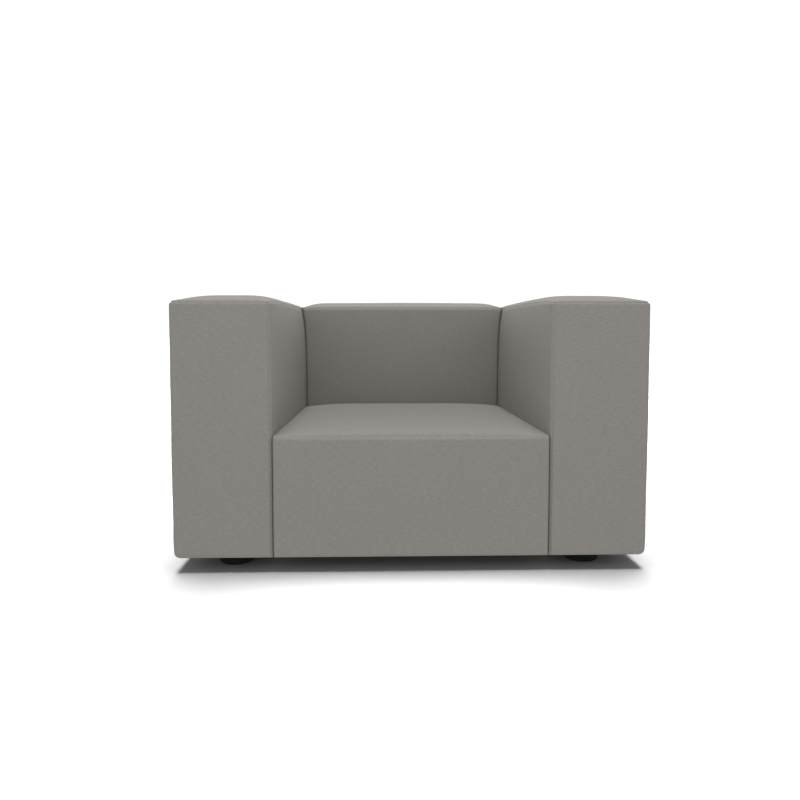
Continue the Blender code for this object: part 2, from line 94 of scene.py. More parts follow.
# ------------------------------
# Sizes and colours


class CoverSizes(bpy.types.PropertyGroup):
    """Sizes of the four sewn covers."""

    cell: bpy.props.FloatProperty(
        name="Cell",
        description="Width of the mesh's cells on the flat of a cover",
        default=0.008,
        unit="LENGTH",
    )
    edge_radius: bpy.props.FloatProperty(
        name="Edge radius", description="Radius of the sewn edges", default=0.012, unit="LENGTH"
    )
    mated_radius: bpy.props.FloatProperty(
        name="Mated radius",
        description="Radius of edges that touch the next block",
        default=0.0015,
        unit="LENGTH",
    )
    inner_radius: bpy.props.FloatProperty(
        name="Inner radius",
        description="Radius of an arm's edges beside the sitter",
        default=0.005,
        unit="LENGTH",
    )
    fold_radius: bpy.props.FloatProperty(
        name="Fold radius", description="Radius of the seat's front edge", default=0.012, unit="LENGTH"
    )
    corner_drop: bpy.props.FloatProperty(
        name="Corner rounding",
        description="How high the lower outer corners are rounded",
        default=0.016,
        unit="LENGTH",
    )
    seam_depth: bpy.props.FloatProperty(
        name="Seam depth", description="How deep a seam sinks into the foam", default=0.0019, unit="LENGTH"
    )
    seam_width: bpy.props.FloatProperty(
        name="Seam width", description="Half width of a seam's groove", default=0.0012, unit="LENGTH"
    )
    seam_ridge: bpy.props.FloatProperty(
        name="Seam ridge",
        description="How far the seam allowance stands out beside a seam",
        default=0.0006,
        unit="LENGTH",
    )
    arm_crown: bpy.props.FloatProperty(
        name="Arm crown", description="Rise of an arm's top above its seams", default=0.019, unit="LENGTH"
    )
    arm_lift: bpy.props.FloatProperty(
        name="Arm lift",
        description="Rise of an arm's long seams between its ends",
        default=0.008,
        unit="LENGTH",
    )
    arm_end_rise: bpy.props.FloatProperty(
        name="Arm end rise",
        description="Length over which an arm's crown rises from its ends",
        default=0.080,
        unit="LENGTH",
    )
    back_crown: bpy.props.FloatProperty(
        name="Back crown", description="Rise of the back's top above its seams", default=0.020, unit="LENGTH"
    )
    seat_crown: bpy.props.FloatProperty(
        name="Seat crown", description="Rise of the seat's middle", default=0.013, unit="LENGTH"
    )
    unevenness: bpy.props.FloatProperty(
        name="Unevenness",
        description="How far the foam leaves the faces out of true",
        default=0.0011,
        unit="LENGTH",
    )
    cloth: bpy.props.FloatProperty(
        name="Cloth", description="Thickness of the cover fabric", default=0.0014, unit="LENGTH"
    )
    sim_voxel: bpy.props.FloatProperty(
        name="Simulation cell", description="Cell of the mesh that is simulated", default=0.014, unit="LENGTH"
    )
    sim_hold: bpy.props.FloatProperty(
        name="Hold",
        description="How firmly the foam holds the simulated fabric",
        default=0.5,
        subtype="FACTOR",
    )
    sim_cap: bpy.props.FloatProperty(
        name="Most movement",
        description="Most that the simulation may move a point out",
        default=0.003,
        unit="LENGTH",
    )
    sim_dip: bpy.props.FloatProperty(
        name="Most dip",
        description="Most that the simulation may move a point in",
        default=0.0006,
        unit="LENGTH",
    )


class LowerSizes(bpy.types.PropertyGroup):
    """Sizes of what closes and carries the chair from below."""

    sag: bpy.props.FloatProperty(
        name="Sag", description="How far a dust cloth hangs in its middle", default=0.003, unit="LENGTH"
    )
    cloth: bpy.props.FloatProperty(
        name="Dust cloth", description="Thickness of a dust cloth", default=0.0004, unit="LENGTH"
    )
    staple_pitch: bpy.props.FloatProperty(
        name="Staple spacing",
        description="Distance between the dust cloths' staples",
        default=0.045,
        unit="LENGTH",
    )
    staple_width: bpy.props.FloatProperty(
        name="Staple width", description="Length of a staple's crown", default=0.0095, unit="LENGTH"
    )
    staple_wire: bpy.props.FloatProperty(
        name="Staple wire", description="Thickness of a staple's wire", default=0.0009, unit="LENGTH"
    )
    foot_edge: bpy.props.FloatProperty(
        name="Foot edge", description="Rounding of a foot's lower edge", default=0.003, unit="LENGTH"
    )
    foot_taper: bpy.props.FloatProperty(
        name="Foot taper", description="How much narrower a foot is below", default=0.003, unit="LENGTH"
    )


class Finishes(bpy.types.PropertyGroup):
    """Colours of the finishes."""

    weave_light: bpy.props.FloatVectorProperty(
        name="Light yarn",
        description="Colour of the lighter yarn",
        default=(0.287, 0.273, 0.251),
        subtype="COLOR",
    )
    weave_dark: bpy.props.FloatVectorProperty(
        name="Dark yarn",
        description="Colour of the darker yarn",
        default=(0.224, 0.213, 0.195),
        subtype="COLOR",
    )
    yarn: bpy.props.FloatProperty(
        name="Yarn", description="Width of one yarn of the cover fabric", default=0.0011, unit="LENGTH"
    )
    floor: bpy.props.FloatVectorProperty(
        name="Floor", description="Colour of the studio floor", default=(0.20, 0.20, 0.20), subtype="COLOR"
    )


class Studio(bpy.types.PropertyGroup):
    """Camera and light."""

    camera_place: bpy.props.FloatVectorProperty(
        name="Camera", description="Place of the camera", default=(-0.073, -1.976, 0.607), subtype="XYZ"
    )
    camera_pitch: bpy.props.FloatProperty(
        name="Pitch", description="How far the camera looks down", default=math.radians(3.11), subtype="ANGLE"
    )
    camera_turn: bpy.props.FloatProperty(
        name="Turn",
        description="How far the camera turns to the right",
        default=math.radians(1.33),
        subtype="ANGLE",
    )
    lens: bpy.props.FloatProperty(
        name="Lens", description="Focal length on a 36 mm wide sensor, in millimetres", default=27.45
    )
    shift_x: bpy.props.FloatProperty(name="Shift across", description="Shift of the lens", default=0.0044)
    shift_y: bpy.props.FloatProperty(name="Shift up", description="Shift of the lens", default=-0.046)
    front_wall: bpy.props.FloatProperty(
        name="Front wall",
        description="Light of the wall in front",
        default=1.1,
    )
    rear_wall: bpy.props.FloatProperty(name="Rear wall", description="Light of the wall behind", default=1.08)
    ceiling: bpy.props.FloatProperty(name="Ceiling", description="Light of the ceiling", default=0.05)
    ground: bpy.props.FloatProperty(
        name="Ground",
        description="Light that comes back from the ground",
        default=0.66,
    )
    front_light: bpy.props.FloatProperty(
        name="Front light", description="Power of the soft light in front", default=9.0, unit="POWER"
    )
    top_light: bpy.props.FloatProperty(
        name="Top light", description="Power of the soft light overhead", default=90.0, unit="POWER"
    )
    floor_light: bpy.props.FloatProperty(
        name="Floor light", description="Strength of the light that only the floor receives", default=18.0
    )


# ------------------------------
# Mesh helpers


def deselect_all():
    if bpy.context.mode != "OBJECT":
        bpy.ops.object.mode_set(mode="OBJECT")
    bpy.ops.object.select_all(action="DESELECT")


def make_active(obj):
    deselect_all()
    obj.select_set(True)
    bpy.context.view_layer.objects.active = obj


def new_primitive(add, name, **sizes):
    """Adds a primitive with an operator, applies its place and names it."""
    deselect_all()
    add(**sizes)
    obj = bpy.context.active_object
    bpy.ops.object.transform_apply(location=True, rotation=True, scale=True)
    obj.name = obj.data.name = name
    return obj


def apply_modifiers(obj):
    make_active(obj)
    for modifier in list(obj.modifiers):
        bpy.ops.object.modifier_apply(modifier=modifier.name)


def points_of(mesh):
    points = np.empty(len(mesh.vertices) * 3, np.float32)
    mesh.vertices.foreach_get("co", points)
    return points.reshape(-1, 3).astype(np.float64)


def set_points(mesh, points):
    mesh.vertices.foreach_set("co", points.astype(np.float32).ravel())
    mesh.update()


def smooth_step(value, start, end):
    share = np.clip((value - start) / (end - start), 0, 1)
    return share * share * (3 - 2 * share)


def waves(points, length, offset):
    """Smooth noise at some points, from -1 to 1, that repeats on each run."""
    return np.array([noise.noise(Vector(point) / length + Vector(offset)) for point in points])


def edge_rows(low, high, low_radius, high_radius, cell):
    """Row places across a block: close together where its edges are rounded, and even between them."""
    near = [low + low_radius * (1 - math.tan(math.radians(45 - angle))) for angle in EDGE_ANGLES]
    far = [high - high_radius * (1 - math.tan(math.radians(45 - angle))) for angle in EDGE_ANGLES]
    start, end = low + low_radius, high - high_radius
    count = max(1, math.ceil((end - start) / cell))
    between = [start + (end - start) * i / count for i in range(count + 1)]
    return near + between + far[::-1]


def gridded_block(name, rows):
    """A box of square cells, with its rows of points at the given places along each axis."""
    block = new_primitive(bpy.ops.mesh.primitive_cube_add, name, size=1)
    bpy.ops.object.mode_set(mode="EDIT")
    bpy.ops.mesh.select_mode(type="EDGE")
    for axis in range(3):
        bpy.ops.mesh.select_all(action="DESELECT")
        bm = bmesh.from_edit_mesh(block.data)
        for edge in bm.edges:
            edge.select_set(abs(edge.verts[1].co[axis] - edge.verts[0].co[axis]) > 0.9)
        bmesh.update_edit_mesh(block.data)
        bpy.ops.mesh.subdivide(number_cuts=len(rows[axis]) - 2)
    bpy.ops.object.mode_set(mode="OBJECT")
    points = points_of(block.data)
    for axis in range(3):
        places = np.array(rows[axis])
        index = np.rint((points[:, axis] + 0.5) * (len(places) - 1)).astype(int)
        points[:, axis] = places[index]
    set_points(block.data, points)
    return block


def rounded(flat, low, high, low_radii, high_radii):
    """Points of a box moved so that its edges are rounded, and how far into each edge they lie."""
    middle = np.clip(flat, low + low_radii, high - high_radii)
    away = flat - middle
    radii = np.where(away < 0, low_radii, high_radii)
    reach = away / radii
    normal = reach / np.linalg.norm(reach, axis=1, keepdims=True)
    return middle + normal * radii, reach, normal


def seam_profile(distance, sizes):
    """Height of the fabric beside a seam: a groove between two low ridges."""
    groove = np.exp(-((distance / sizes.seam_width) ** 2))
    ridge = np.exp(-(((np.abs(distance) - 0.0034) / 0.0017) ** 2))
    return sizes.seam_ridge * ridge - sizes.seam_depth * groove


def top_seam(reach, radius):
    """Distance from the seam that runs round a block's top, and where that seam counts."""
    side = np.maximum(np.abs(reach[:, 0]), np.abs(reach[:, 1]))
    up = np.maximum(reach[:, 2], 0)
    near = (side > 0) & (up > 0)
    return radius * (math.pi / 4 - np.arctan2(side, up)), near


def upright_seam(reach, radius, sign):
    """Distance from the upright seams on one side of a block, and where they count."""
    across, along = np.abs(reach[:, 0]), np.abs(reach[:, 1])
    side = np.maximum(across, along)
    near = (across > 0) & (along > 0) & (reach[:, 0] * sign > 0) & (reach[:, 2] < side)
    return radius * (math.pi / 4 - np.arctan2(across, along)), near


def add_panel_uv(mesh, flat):
    """UV map in metres, one island for each sewn panel, from the box that the cover was cut round."""
    loops = np.empty(len(mesh.loops), np.int32)
    mesh.loops.foreach_get("vertex_index", loops)
    corners = flat[loops].reshape(-1, 4, 3)
    axis = np.argmin(np.ptp(corners, axis=1), axis=1)
    sign = np.sign(corners.mean(axis=1) - flat.mean(axis=0))[np.arange(len(axis)), axis]
    across = np.where(axis == 0, 1, 0)
    along = np.where(axis == 2, 1, 2)
    picked = np.stack(
        [
            np.take_along_axis(corners, pick[:, None, None].repeat(4, 1), 2)[:, :, 0]
            for pick in (across, along)
        ],
        axis=2,
    )
    picked += (0.37 * axis + 1.13 * sign)[:, None, None]
    while mesh.uv_layers:
        mesh.uv_layers.remove(mesh.uv_layers[0])
    layer = mesh.uv_layers.new(name="panels")
    layer.data.foreach_set("uv", picked.astype(np.float32).ravel())


def pressed_out(obj, sizes):
    """How far each point of obj moves when a coarse copy of it is simulated as stuffed cloth.

    The foam holds the fabric so firmly that the moves stay well under a millimetre.
    """
    copy = bpy.data.objects.new("stuffing_test", obj.data.copy())
    bpy.context.scene.collection.objects.link(copy)
    make_active(copy)
    copy.data.remesh_voxel_size = sizes.sim_voxel
    bpy.ops.object.voxel_remesh()
    start = points_of(copy.data)
    held = copy.vertex_groups.new(name="held")
    held.add(list(range(len(start))), sizes.sim_hold, "REPLACE")
    cloth = copy.modifiers.new("cloth", "CLOTH")
    cloth.settings.vertex_group_mass = held.name
    cloth.settings.pin_stiffness = PIN_STIFFNESS
    cloth.settings.quality = 4
    cloth.settings.mass = 0.35
    cloth.settings.tension_stiffness = 20
    cloth.settings.compression_stiffness = 8
    cloth.settings.shear_stiffness = 6
    cloth.settings.bending_stiffness = 4
    cloth.settings.shrink_min = TEST_SLACK
    cloth.settings.use_pressure = True
    cloth.settings.uniform_pressure_force = TEST_PRESSURE
    cloth.settings.effector_weights.gravity = 0
    cloth.collision_settings.use_collision = False
    scene = bpy.context.scene
    cloth.point_cache.frame_start, cloth.point_cache.frame_end = 1, TEST_FRAMES
    for number in range(1, TEST_FRAMES + 1):
        scene.frame_set(number)
    bpy.ops.object.modifier_apply(modifier=cloth.name)
    end = points_of(copy.data)
    scene.frame_set(1)
    faces = [tuple(face.vertices) for face in copy.data.polygons]
    tree = BVHTree.FromPolygons([Vector(point) for point in start], faces)
    moved = end - start
    found = np.zeros((len(obj.data.vertices), 3))
    for number, vertex in enumerate(obj.data.vertices):
        place, _, face, _ = tree.find_nearest(vertex.co)
        corners = faces[face]
        weights = poly_3d_calc([Vector(start[corner]) for corner in corners], place)
        found[number] = sum(weight * moved[corner] for weight, corner in zip(weights, corners))
    bpy.data.objects.remove(copy)
    return found


def capped(moves, normal, sizes):
    """The part of some moves that goes in or out of a surface, kept between the two limits."""
    height = np.sum(moves * normal, axis=1)
    return normal * np.clip(height, -sizes.sim_dip, sizes.sim_cap)[:, None]


def open_below(cover, flat, low, high, finish):
    """Opens a cover below, but for its hem, and gives it the fabric's thickness."""
    make_active(cover)
    bpy.ops.object.mode_set(mode="EDIT")
    bpy.ops.mesh.select_mode(type="FACE")
    bpy.ops.mesh.select_all(action="DESELECT")
    bm = bmesh.from_edit_mesh(cover.data)
    bm.verts.ensure_lookup_table()
    for face in bm.faces:
        places = flat[[vert.index for vert in face.verts]]
        below = np.all(np.abs(places[:, 2] - low[2]) < 1e-6)
        clear = np.all(places[:, :2] > low[:2] + HEM) and np.all(places[:, :2] < high[:2] - HEM)
        face.select_set(bool(below and clear))
    bmesh.update_edit_mesh(cover.data)
    bpy.ops.mesh.delete(type="FACE")
    bpy.ops.object.mode_set(mode="OBJECT")
    bpy.ops.object.shade_smooth()
    shell = cover.modifiers.new("fabric", "SOLIDIFY")
    shell.thickness = bpy.context.scene.cover_sizes.cloth
    shell.offset = -1
    apply_modifiers(cover)
    cover.data.materials.clear()
    cover.data.materials.append(finish)


# ------------------------------
# Shapes of the blocks. Each returns where the points of a flat-sided block go.


def pillow(flat, low, high, faces, pressed=0):
    """How far the faces of a block stand out, as the CAD covers do.

    pressed is the share by which a point lies on a face that another block presses flat.
    """
    half, centre = (high - low) / 2, (high + low) / 2
    share = np.clip((flat - centre) / half, -1, 1)
    level = 1 - np.abs(share) ** CROWN_POWER
    moves = np.zeros_like(flat)
    for (axis, sign), amount in faces.items():
        across = [i for i in range(3) if i != axis]
        swell = level[:, across[0]] * level[:, across[1]]
        if axis == 0:
            even = 1 - np.abs(share[:, 1]) ** PRESSED_POWER
            swell = swell + (even - swell) * pressed
        moves[:, axis] += np.where(share[:, axis] * sign > 0, amount * swell * share[:, axis], 0)
    return moves, share, level


def arm_shape(flat, low, high, sign, sizes):
    """An arm: its crown rises fast behind each end, and its long seams are drawn in between them."""
    faces = {(0, -1): 0.0052, (0, 1): 0.0052, (1, -1): 0.003, (1, 1): 0.003}
    outward = (2 * flat[:, 0] - low[0] - high[0]) / (high[0] - low[0]) * sign
    moves, share, level = pillow(flat, low, high, faces, outward < 0)
    fall = np.exp((flat[:, 2] - high[2]) / LEAN_REACH)
    lean = np.where(outward < 0, ARM_LEANS["inner"], ARM_LEANS["outer"])
    moves[:, 0] -= share[:, 0] * lean * level[:, 1] * fall
    from_end = np.minimum(flat[:, 1] - low[1], high[1] - flat[:, 1])
    rise = 1 - np.exp(-from_end / sizes.arm_end_rise)
    on_top = np.clip((flat[:, 2] - (high[2] - 0.02)) / 0.02, 0, 1)
    moves[:, 2] += sizes.arm_lift * (1 - np.abs(share[:, 1]) ** 3) * fall
    moves[:, 2] += sizes.arm_crown * (1 - np.abs(share[:, 0]) ** 4.5) * rise * on_top
    return moves


def seat_shape(flat, low, high, sizes):
    """The seat: a low crown that falls a little to the rear."""
    faces = {(0, -1): 0.0027, (0, 1): 0.0027, (1, -1): 0.003, (1, 1): 0.002}
    moves, share, _ = pillow(flat, low, high, faces, 1)
    rise = (share[:, 2] + 1) / 2
    moves[:, 2] -= SEAT_DROP * rise * (share[:, 1] + 1) / 2
    even = (1 - np.abs(share[:, 0]) ** 5) * (1 - np.abs(share[:, 1]) ** 24)
    moves[:, 2] += sizes.seat_crown * even * np.maximum(share[:, 2], 0)
    return moves


def back_shape(flat, low, high, sizes):
    """The back: its crown falls away close to its ends, and its sides follow the arms' lean."""
    faces = {(0, -1): 0.0027, (0, 1): 0.0027, (1, -1): 0.002, (1, 1): 0.005}
    moves, share, _ = pillow(flat, low, high, faces, 1)
    fall = np.exp((flat[:, 2] - high[2]) / LEAN_REACH)
    arm_low, arm_high = box_of("arm_right_cover")
    arm_share = (flat[:, 1] - (arm_low.y + arm_high.y) / 2) / ((arm_high.y - arm_low.y) / 2)
    arm_level = 1 - np.abs(arm_share) ** CROWN_POWER
    side = np.abs(share[:, 0]) ** 3 * np.sign(share[:, 0])
    moves[:, 0] += side * 0.9 * ARM_LEANS["inner"] * arm_level * fall
    from_end = np.minimum(flat[:, 0] - low[0], high[0] - flat[:, 0])
    rise = 1 - np.exp(-from_end / 0.022)
    on_top = np.clip((flat[:, 2] - (high[2] - 0.02)) / 0.02, 0, 1)
    moves[:, 2] += sizes.back_crown * (1 - np.abs(share[:, 1]) ** 2.2) * rise * on_top
    return moves


def cover_edges(name):
    """Corners of the box that the edges of a cover lie on, from its CAD cover and its neighbours."""
    low, high = (np.array(corner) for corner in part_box(f"{name}_cover"))
    if name == "seat":
        inset_low, inset_high = (0.002, 0.003, 0), (0.002, 0.002, 0)
        high[2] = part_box("seat_cover")[1].z - 0.008
    elif name == "back":
        inset_low, inset_high = (0.002, 0.002, 0), (0.002, 0.005, 0.018)
    else:
        inset_low, inset_high = (0.005, 0.003, 0), (0.005, 0.003, 0.022)
    return low + np.array(inset_low), high - np.array(inset_high)


def make_cover(name, finish):
    """One sewn cover: cut round its block's edges, rounded, stuffed, pressed out and grooved at its seams."""
    sizes = bpy.context.scene.cover_sizes
    low, high = cover_edges(name)
    radius = sizes.edge_radius
    fold = sizes.fold_radius if name == "seat" else radius
    mated = sizes.mated_radius
    inner, outer = radius, radius
    if not name.startswith("arm"):
        inner = outer = mated
    rows = [
        edge_rows(low[0], high[0], inner, outer, sizes.cell),
        edge_rows(low[1], high[1], fold, radius, sizes.cell),
        edge_rows(low[2], high[2], sizes.corner_drop if name.startswith("arm") else radius, fold, sizes.cell),
    ]
    cover = gridded_block(f"{name}_upholstery", rows)
    flat = points_of(cover.data)
    low_radii = np.full(flat.shape, radius)
    high_radii = np.full(flat.shape, radius)
    seat_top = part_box("seat_cover")[1].z
    if name.startswith("arm"):
        sign = SIDES[name[4:]]
        across = (flat[:, 0] - low[0]) / (high[0] - low[0])
        outward = across if sign > 0 else 1 - across
        low_radii[:, 2] += (sizes.corner_drop - radius) * smooth_step(outward, 0.2, 0.8)
        lowest = 1 - smooth_step(flat[:, 2], low[2] + 0.01, low[2] + 0.05)
        outer_radii = high_radii if sign > 0 else low_radii
        outer_radii[:, 0] += (sizes.corner_drop - radius) * lowest
        beside_seat = 1 - smooth_step(flat[:, 2], seat_top - 0.03, seat_top + 0.06)
        inner_radii = low_radii if sign > 0 else high_radii
        inner_radii[:, 0] += (sizes.inner_radius - radius) + (mated - sizes.inner_radius) * beside_seat
        moves = arm_shape(flat, low, high, sign, sizes)
    elif name == "seat":
        low_radii[:, 0] = high_radii[:, 0] = mated
        low_radii[:, 1] += (fold - radius) * smooth_step(flat[:, 2], high[2] - 0.10, high[2] - fold)
        forward = 1 - smooth_step(flat[:, 1], low[1] + fold, low[1] + 0.09)
        high_radii[:, 2] += (fold - radius) * forward
        moves = seat_shape(flat, low, high, sizes)
    else:
        low_radii[:, 0] = high_radii[:, 0] = mated
        moves = back_shape(flat, low, high, sizes)
    shaped, reach, normal = rounded(flat, low, high, low_radii, high_radii)
    shaped += moves
    set_points(cover.data, shaped)
    add_panel_uv(cover.data, flat)

    exposed = exposure(name, flat, low, high)
    shaped += capped(pressed_out(cover, sizes), normal, sizes) * exposed[:, None]
    ripple = 0.6 + 0.8 * waves(flat, 0.14, (3.1, 1.7, 0.4)) + 0.15 * waves(flat, 0.05, (0.3, 5.2, 8.8))
    shaped += normal * (sizes.unevenness * ripple * exposed)[:, None]
    seams = []
    if name != "seat":
        seams.append(top_seam(reach, radius))
    if name.startswith("arm"):
        seams.append(upright_seam(reach, radius, SIDES[name[4:]]))
    if name == "back":
        seams += [upright_seam(reach, radius, -1), upright_seam(reach, radius, 1)]
    for distance, near in seams:
        shaped += normal * np.where(near, seam_profile(distance, sizes), 0)[:, None]
    set_points(cover.data, shaped)
    open_below(cover, flat, low, high, finish)
    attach(cover, "root")
    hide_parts(f"{name}_cover")
    return cover


def exposure(name, flat, low, high):
    """How free each point of a cover is: 0 where the frame or a neighbour holds it, 1 in the open."""
    free = smooth_step(flat[:, 2], low[2], low[2] + 0.05)
    seat_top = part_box("seat_cover")[1].z
    back_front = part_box("back_cover")[0].y
    if name.startswith("arm"):
        sign = SIDES[name[4:]]
        across = (flat[:, 0] - low[0]) / (high[0] - low[0])
        inner = 1 - across if sign > 0 else across
        held = np.maximum(
            1 - smooth_step(flat[:, 2], seat_top, seat_top + 0.08),
            smooth_step(flat[:, 1], back_front - 0.08, back_front),
        )
        held = np.where(flat[:, 2] > high[2] - 0.001, 0, held)
        return free * (1 - held * smooth_step(inner, 0.9, 1.0))
    sides = np.minimum(flat[:, 0] - low[0], high[0] - flat[:, 0])
    free = free * smooth_step(sides, 0.0, 0.03)
    if name == "seat":
        return free * (1 - smooth_step(flat[:, 1], high[1] - 0.05, high[1]))
    front = flat[:, 1] < low[1] + 0.001
    return np.where(front, free * smooth_step(flat[:, 2], seat_top, seat_top + 0.06), free)


# ------------------------------
# Materials


class Nodes:
    """A material's node tree, with short calls for the nodes that the finishes use."""

    def __init__(self, name):
        self.material = bpy.data.materials.new(name)
        self.material.use_nodes = True
        self.tree = self.material.node_tree
        self.shader = self.tree.nodes["Principled BSDF"]

    def put(self, socket, value):
        if isinstance(value, bpy.types.NodeSocket):
            self.tree.links.new(value, socket)
        else:
            socket.default_value = value

    def add(self, kind, **inputs):
        node = self.tree.nodes.new(kind)
        for key, value in inputs.items():
            self.put(node.inputs[key], value)
        return node

    def maths(self, operation, *values):
        node = self.tree.nodes.new("ShaderNodeMath")
        node.operation = operation
        for socket, value in zip(node.inputs, values):
            self.put(socket, value)
        return node.outputs[0]

    def scaled(self, vector, scale, place=(0, 0, 0)):
        return self.add("ShaderNodeMapping", Vector=vector, Scale=scale, Location=place).outputs[0]

    def noise(self, vector, scale, detail=2.0, roughness=0.5):
        made = self.add("ShaderNodeTexNoise", Vector=vector, Scale=scale, Detail=detail, Roughness=roughness)
        return made.outputs[0]

    def ramp(self, value, stops):
        node = self.add("ShaderNodeValToRGB", Fac=value)
        elements = node.color_ramp.elements
        while len(elements) < len(stops):
            elements.new(0.5)
        for element, (place, colour) in zip(elements, stops):
            element.position = place
            element.color = (*colour, 1)
        return node.outputs[0]

    def mix(self, share, first, second, blend="MIX"):
        node = self.tree.nodes.new("ShaderNodeMix")
        node.data_type = "RGBA"
        node.blend_type = blend
        colour_inputs = [socket for socket in node.inputs if socket.enabled]
        for socket, value in zip(colour_inputs, (share, first, second)):
            self.put(socket, value)
        return next(socket for socket in node.outputs if socket.enabled)

    def bump(self, height, strength, distance):
        made = self.add("ShaderNodeBump", Height=height, Strength=strength, Distance=distance)
        self.put(self.shader.inputs["Normal"], made.outputs[0])

    def finish(self, **values):
        for key, value in values.items():
            self.put(self.shader.inputs[key.replace("_", " ")], value)
        return self.material


def grey_weave():
    """Plain weave of mixed light and dark yarn, with thicker slubs along the weft and painted shade in the
    low points between the yarns.
    """
    colours = bpy.context.scene.finishes
    made = Nodes("woven_cover")
    uv = made.add("ShaderNodeUVMap")
    uv.uv_map = "panels"
    parts = made.add("ShaderNodeSeparateXYZ", Vector=uv.outputs[0])
    across, along = parts.outputs[0], parts.outputs[1]
    pitch = colours.yarn
    turn_x = made.maths("MULTIPLY", across, math.pi / pitch)
    turn_y = made.maths("MULTIPLY", along, math.pi / pitch)
    wave_x, wave_y = made.maths("SINE", turn_x), made.maths("SINE", turn_y)
    crossing = made.maths("MULTIPLY", made.maths("SIGN", wave_x), made.maths("SIGN", wave_y))
    weft_up = made.maths("MULTIPLY_ADD", crossing, 0.5, 0.5)
    weft = made.maths("MULTIPLY", made.maths("ABSOLUTE", wave_y), weft_up)
    warp = made.maths("MULTIPLY", made.maths("ABSOLUTE", wave_x), made.maths("SUBTRACT", 1.0, weft_up))
    weave = made.maths("ADD", weft, warp)

    weft_tone = made.noise(made.scaled(uv.outputs[0], (70, 820, 1)), 1.0, 3.0, 0.6)
    warp_tone = made.noise(made.scaled(uv.outputs[0], (820, 90, 1), (5.3, 1.1, 0)), 1.0, 3.0, 0.6)
    share = made.maths("MULTIPLY_ADD", weft_up, 0.35, 0.45)
    tone = made.mix(share, warp_tone, weft_tone)
    slubs = made.noise(made.scaled(uv.outputs[0], (72, 330, 1), (9.0, 2.0, 0)), 1.0, 1.0, 0.5)
    cloudy = made.noise(made.scaled(uv.outputs[0], (7, 9, 1)), 1.0, 2.0, 0.5)
    base = made.ramp(tone, [(0.36, colours.weave_dark), (0.64, colours.weave_light)])
    shade = made.ramp(cloudy, [(0.3, (0.98, 0.98, 0.98)), (0.7, (1.0, 1.0, 1.0))])
    base = made.mix(1.0, base, shade, "MULTIPLY")
    flecks = made.ramp(
        slubs,
        [
            (0.24, (0.88, 0.88, 0.88)),
            (0.37, (0.99, 0.99, 0.99)),
            (0.63, (1.0, 1.0, 1.0)),
            (0.78, (1.17, 1.16, 1.15)),
        ],
    )
    base = made.mix(1.0, base, flecks, "MULTIPLY")
    # Painted shade: the base colour is darkened where the weave lies low, between the yarns.
    weave_painted_shade = made.ramp(weave, [(0.0, (0.80, 0.80, 0.80)), (0.6, (1.03, 1.03, 1.03))])
    base = made.mix(1.0, base, weave_painted_shade, "MULTIPLY")
    height = made.maths("MULTIPLY_ADD", slubs, 0.8, weave)
    made.bump(height, 0.2, 0.0003)
    return made.finish(
        Base_Color=base, Roughness=0.92, Sheen_Weight=0.03, Sheen_Roughness=0.5, Specular_IOR_Level=0.2
    )


def grained(name, light, dark, axis, rough, ring=9.0):
    """Board with its grain along one axis."""
    made = Nodes(name)
    place = made.add("ShaderNodeTexCoord").outputs["Object"]
    stretch = [60.0, 60.0, 60.0]
    stretch[axis] = 2.6
    wide = [ring, ring, ring]
    wide[axis] = 0.7
    rings = made.noise(made.scaled(place, tuple(wide)), 1.0, 1.0, 0.4)
    bands = made.maths("FRACT", made.maths("MULTIPLY", rings, 9.0))
    fibres = made.noise(made.scaled(place, tuple(stretch)), 1.0, 4.0, 0.6)
    tone = made.mix(0.45, bands, fibres)
    base = made.ramp(tone, [(0.2, light), (0.8, dark)])
    made.bump(fibres, 0.2, 0.0004)
    roughness = made.maths("MULTIPLY_ADD", fibres, 0.2, rough - 0.1)
    return made.finish(Base_Color=base, Roughness=roughness)


def speckled(name, light, dark, scale, rough, bump=0.3, depth=0.0004, stretch=(1, 1, 1), **more):
    """A finish of two tones of fine grain, such as foam, felt, board or cast plastic."""
    made = Nodes(name)
    place = made.add("ShaderNodeTexCoord").outputs["Object"]
    grain = made.noise(made.scaled(place, stretch), scale, 4.0, 0.65)
    cloud = made.noise(place, scale / 24, 2.0, 0.5)
    tone = made.mix(0.3, grain, cloud)
    base = made.ramp(tone, [(0.35, dark), (0.65, light)])
    made.bump(grain, bump, depth)
    roughness = made.maths("MULTIPLY_ADD", grain, 0.16, rough - 0.08)
    return made.finish(Base_Color=base, Roughness=roughness, **more)


def ribbed(name, light, dark, pitch, axis, rough):
    """A woven tape, with its ribs across one axis; its colour has a random fuzz of tone and painted shade
    between the ribs.
    """
    made = Nodes(name)
    place = made.add("ShaderNodeTexCoord").outputs["Object"]
    part = made.add("ShaderNodeSeparateXYZ", Vector=place).outputs[axis]
    rib = made.maths("ABSOLUTE", made.maths("SINE", made.maths("MULTIPLY", part, math.pi / pitch)))
    fuzz = made.noise(place, 900, 2.0, 0.6)
    # Painted shade: the tape is darker where it lies low between its ribs, mixed with a random fuzz of tone.
    tone = made.mix(0.4, rib, fuzz)
    base = made.ramp(tone, [(0.2, dark), (0.8, light)])
    made.bump(rib, 0.5, 0.0006)
    return made.finish(Base_Color=base, Roughness=rough)


